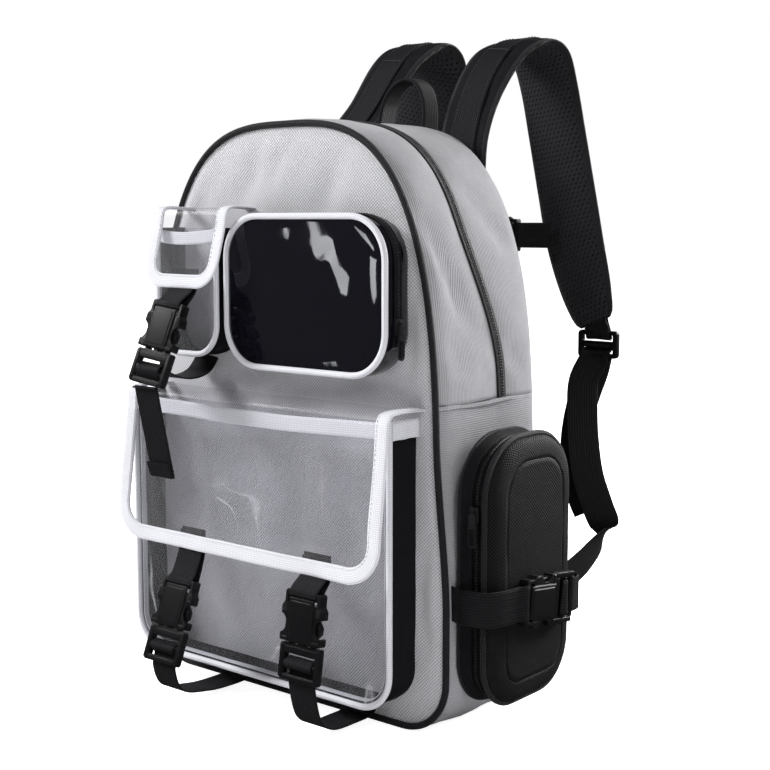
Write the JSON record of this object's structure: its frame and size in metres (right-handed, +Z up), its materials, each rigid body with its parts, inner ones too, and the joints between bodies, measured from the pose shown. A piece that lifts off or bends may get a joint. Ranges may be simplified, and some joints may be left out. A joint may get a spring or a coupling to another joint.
{
  "type": "backpack",
  "caption": "Arched grey backpack with clear and gloss front pockets, buckled flaps, a strapped side pouch, padded shoulder straps and a carry loop.",
  "frame": {"origin": "on the ground, at the middle of the flat underside", "axes": "+Z up, -Y the front with the pockets, +X the side with the strapped pouch"},
  "size_m": [0.3625, 0.3384, 0.5291],
  "materials": {
    "grey_canvas": "woven matt grey",
    "black_fabric": "matt black cloth",
    "black_webbing": "ribbed black webbing",
    "white_piping": "matt white",
    "black_plastic": "moulded satin black",
    "black_gloss_vinyl": "mirror-like black",
    "clear_vinyl": "clear, faintly smoky",
    "zip_metal": "black enamel"
  },
  "bodies": {
    "pack_body": {"back_panel": "black_fabric", "rear_gusset": "grey_canvas", "lower_tub": "grey_canvas", "front_panel_lower": "grey_canvas", "front_piping_lower": "black_fabric", "zip_tape_rear": "black_fabric", "big_pocket_gusset": "black_fabric", "big_pocket_piping": "white_piping", "big_pocket_front": "clear_vinyl", "big_flap_top": "clear_vinyl", "pouch_case": "black_fabric", "pouch_cover": "black_fabric", "side_strap_front": "black_webbing", "side_buckle_socket": "black_plastic", "side_strap_rear": "black_webbing", "lower_strap_left": "black_webbing", "lower_strap_right": "black_webbing", "strap_webbing_left": "black_webbing", "strap_webbing_right": "black_webbing"},
    "front_lid": {"front_panel_upper": "grey_canvas", "front_gusset": "grey_canvas", "front_piping_upper": "black_fabric", "zip_tape_front": "black_fabric", "gloss_pocket_gusset": "black_gloss_vinyl", "gloss_pocket_piping": "white_piping", "gloss_pocket_face": "black_gloss_vinyl", "small_pocket_gusset": "black_fabric", "small_pocket_piping": "white_piping", "small_pocket_front": "clear_vinyl", "small_flap_top": "clear_vinyl", "small_lower_strap": "black_webbing"},
    "big_flap": {"big_flap": "clear_vinyl", "flap_strap_left": "black_webbing", "flap_strap_right": "black_webbing", "front_buckle_socket_left": "black_plastic", "front_buckle_socket_right": "black_plastic"},
    "small_flap": {"small_flap": "clear_vinyl", "small_flap_strap": "black_webbing", "small_buckle_socket": "black_plastic"},
    "front_plug_left": {"front_buckle_plug_left": "black_plastic"},
    "front_plug_right": {"front_buckle_plug_right": "black_plastic"},
    "small_plug": {"small_buckle_plug": "black_plastic"},
    "tail_turn": {"small_tail_turn": "black_webbing"},
    "small_tail": {"small_tail": "black_webbing"},
    "side_plug": {"side_buckle_plug": "black_plastic"},
    "main_slider": {"main_zip_slider": "zip_metal"},
    "main_pull": {"main_zip_pull": "zip_metal"},
    "gloss_slider": {"gloss_pocket_zip_slider": "zip_metal"},
    "gloss_pull": {"gloss_pocket_zip_pull": "zip_metal"},
    "pouch_slider": {"pouch_zip_slider": "zip_metal"},
    "pouch_pull": {"pouch_zip_pull": "zip_metal"},
    "left_strap": {"shoulder_strap_left": "black_fabric"},
    "right_strap": {"shoulder_strap_right": "black_fabric", "sternum_strap_right": "black_webbing", "sternum_buckle_socket": "black_plastic"},
    "sternum_plug": {"sternum_buckle_plug": "black_plastic", "sternum_strap_left": "black_webbing"},
    "left_adjuster": {"adjuster_left": "black_plastic"},
    "right_adjuster": {"adjuster_right": "black_plastic"},
    "handle": {"carry_handle": "black_webbing"}
  },
  "joints": [
    {"name": "lid_fold", "type": "hinge", "parent": "pack_body", "child": "front_lid", "pos_m": [0, -0.0655, 0.243], "axis": [1, 0, 0], "range_deg": [0, 20], "stiffness_Nm_per_rad": 1, "deforming": ["small_lower_strap"]},
    {"name": "big_flap_hinge", "type": "hinge", "parent": "pack_body", "child": "big_flap", "pos_m": [0, -0.104, 0.238], "axis": [1, 0, 0], "range_deg": [-88, 0]},
    {"name": "small_flap_hinge", "type": "hinge", "parent": "front_lid", "child": "small_flap", "pos_m": [0, -0.0945, 0.3828], "axis": [1, 0, 0], "range_deg": [-150, 0]},
    {"name": "front_plug_left_release", "type": "slide", "parent": "pack_body", "child": "front_plug_left", "axis": [0, -0.3746, -0.9272], "range_m": [0, 0.03], "stiffness_N_per_m": 20, "deforming": ["lower_strap_left"]},
    {"name": "front_plug_right_release", "type": "slide", "parent": "pack_body", "child": "front_plug_right", "axis": [0, -0.1495, -0.9888], "range_m": [0, 0.03], "stiffness_N_per_m": 20, "deforming": ["lower_strap_right"]},
    {"name": "small_plug_release", "type": "slide", "parent": "front_lid", "child": "small_plug", "axis": [-0.0982, -0.342, -0.9345], "range_m": [0, 0.03], "stiffness_N_per_m": 20},
    {"name": "tail_turn_hinge", "type": "hinge", "parent": "small_plug", "child": "tail_turn", "pos_m": [0, -0.14194, 0.24746], "axis": [1, 0, 0], "range_deg": [-36, 0]},
    {"name": "small_tail_hinge", "type": "hinge", "parent": "tail_turn", "child": "small_tail", "pos_m": [0, -0.14194, 0.24696], "axis": [1, 0, 0], "range_deg": [-110, 0], "deforming": ["small_tail"]},
    {"name": "side_plug_release", "type": "slide", "parent": "pack_body", "child": "side_plug", "axis": [0, 0.9925, -0.1219], "range_m": [0, 0.03], "stiffness_N_per_m": 20, "deforming": ["side_strap_rear"]},
    {"name": "main_zip_slide", "type": "slide", "parent": "pack_body", "child": "main_slider", "axis": [0.0965, -0.1668, 0.9812], "range_m": [-0.01, 0.036], "stiffness_N_per_m": 20},
    {"name": "main_zip_pull_hinge", "type": "hinge", "parent": "main_slider", "child": "main_pull", "pos_m": [-0.152, 0.01498, 0.262], "axis": [0, 1, 0], "range_deg": [0, 100]},
    {"name": "gloss_zip_slide", "type": "slide", "parent": "front_lid", "child": "gloss_slider", "axis": [0, 0, 1], "range_m": [-0.01, 0.036], "stiffness_N_per_m": 20},
    {"name": "gloss_zip_pull_hinge", "type": "hinge", "parent": "gloss_slider", "child": "gloss_pull", "pos_m": [0.1256, -0.0765, 0.3], "axis": [0, -1, 0], "range_deg": [0, 100]},
    {"name": "pouch_zip_slide", "type": "slide", "parent": "pack_body", "child": "pouch_slider", "axis": [0, 0, 1], "range_m": [-0.025, 0.014], "stiffness_N_per_m": 20},
    {"name": "pouch_zip_pull_hinge", "type": "hinge", "parent": "pouch_slider", "child": "pouch_pull", "pos_m": [0.174, -0.0568, 0.168], "axis": [-1, 0, 0], "range_deg": [0, 100]},
    {"name": "left_strap_hinge", "type": "hinge", "parent": "pack_body", "child": "left_strap", "pos_m": [0, 0.061, 0.44], "axis": [1, 0, 0], "range_deg": [-20, 20], "stiffness_Nm_per_rad": 2, "deforming": ["strap_webbing_left"]},
    {"name": "right_strap_hinge", "type": "hinge", "parent": "pack_body", "child": "right_strap", "pos_m": [0, 0.061, 0.44], "axis": [1, 0, 0], "range_deg": [-20, 20], "stiffness_Nm_per_rad": 2, "deforming": ["strap_webbing_right"]},
    {"name": "sternum_plug_release", "type": "slide", "parent": "left_strap", "child": "sternum_plug", "axis": [-1, 0, 0], "range_m": [0, 0.018], "stiffness_N_per_m": 20},
    {"name": "left_adjuster_tilt", "type": "hinge", "parent": "left_strap", "child": "left_adjuster", "pos_m": [-0.126, 0.1775, 0.2815], "axis": [1, 0, 0], "range_deg": [-25, 25], "stiffness_Nm_per_rad": 0.01},
    {"name": "right_adjuster_tilt", "type": "hinge", "parent": "right_strap", "child": "right_adjuster", "pos_m": [0.134, 0.1775, 0.2815], "axis": [1, 0, 0], "range_deg": [-25, 25], "stiffness_Nm_per_rad": 0.01},
    {"name": "carry_handle_hinge", "type": "hinge", "parent": "pack_body", "child": "handle", "pos_m": [0, 0.0745, 0.453], "axis": [1, 0, 0], "range_deg": [-50, 15], "stiffness_Nm_per_rad": 0.05}
  ],
  "couplings": [
    {"joint": "right_strap_hinge", "follows": "left_strap_hinge", "ratio": 1},
    {"joint": "tail_turn_hinge", "follows": "lid_fold", "ratio": -1.8},
    {"joint": "small_tail_hinge", "follows": "big_flap_hinge", "ratio": 1.25}
  ]
}
